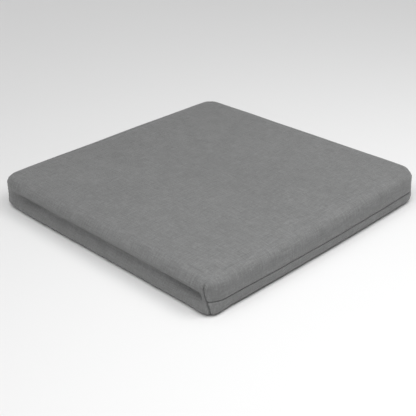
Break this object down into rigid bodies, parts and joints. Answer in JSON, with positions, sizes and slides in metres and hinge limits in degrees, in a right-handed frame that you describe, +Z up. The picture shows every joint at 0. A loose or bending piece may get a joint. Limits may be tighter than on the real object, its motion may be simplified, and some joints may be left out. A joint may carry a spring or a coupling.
{
  "type": "kneeling pad",
  "caption": "Square foam kneeling pad in a boxed grey woven cover that is sewn at the corners and sides and zips shut along its back.",
  "frame": {"origin": "centre of the flat face the pad rests on", "axes": "+Z up through the pad's thickness; -Y is the front, where the cover wraps round unseamed; the zip is in the back, +Y; +X and -X are the seamed sides"},
  "size_m": [0.4, 0.4015, 0.045],
  "materials": {
    "cover_cloth": "matt plain-woven polyester with a faint sheen on the rolled edges",
    "foam": "fine open-cell foam, matt",
    "thread": "twisted polyester sewing thread",
    "zip_tape": "herringbone woven tape, matt",
    "zip_coil": "satin nylon monofilament",
    "zip_metal": "dark grey enamel on die-cast zinc, satin"
  },
  "bodies": {
    "pad": {"foam_core": "foam", "cover": "cover_cloth", "side_seam_thread_right": "thread", "side_seam_thread_left": "thread", "back_seam_thread_right": "thread", "back_seam_thread_left": "thread", "corner_seam_thread_front_right": "thread", "corner_seam_thread_front_left": "thread", "corner_seam_thread_back_right": "thread", "corner_seam_thread_back_left": "thread", "zip_stitching_upper": "thread", "zip_stitching_lower": "thread", "zip_tape_upper": "zip_tape", "zip_tape_lower": "zip_tape", "zip_coil_upper": "zip_coil", "zip_coil_lower": "zip_coil", "zip_top_stop_upper": "zip_metal", "zip_top_stop_lower": "zip_metal", "zip_bottom_stop": "zip_metal"},
    "slider": {"zip_slider": "zip_metal"},
    "pull_tab": {"zip_pull_tab": "zip_metal"}
  },
  "joints": [
    {"name": "zip_slide", "type": "slide", "parent": "pad", "child": "slider", "axis": [-1, 0, 0], "range_m": [0, 0.333], "deforming": ["zip_coil_upper", "zip_coil_lower"]},
    {"name": "pull_tab_turn", "type": "hinge", "parent": "slider", "child": "pull_tab", "pos_m": [0.1665, 0.1999, 0.0175], "axis": [0, 0, -1], "range_deg": [0, 175]}
  ]
}
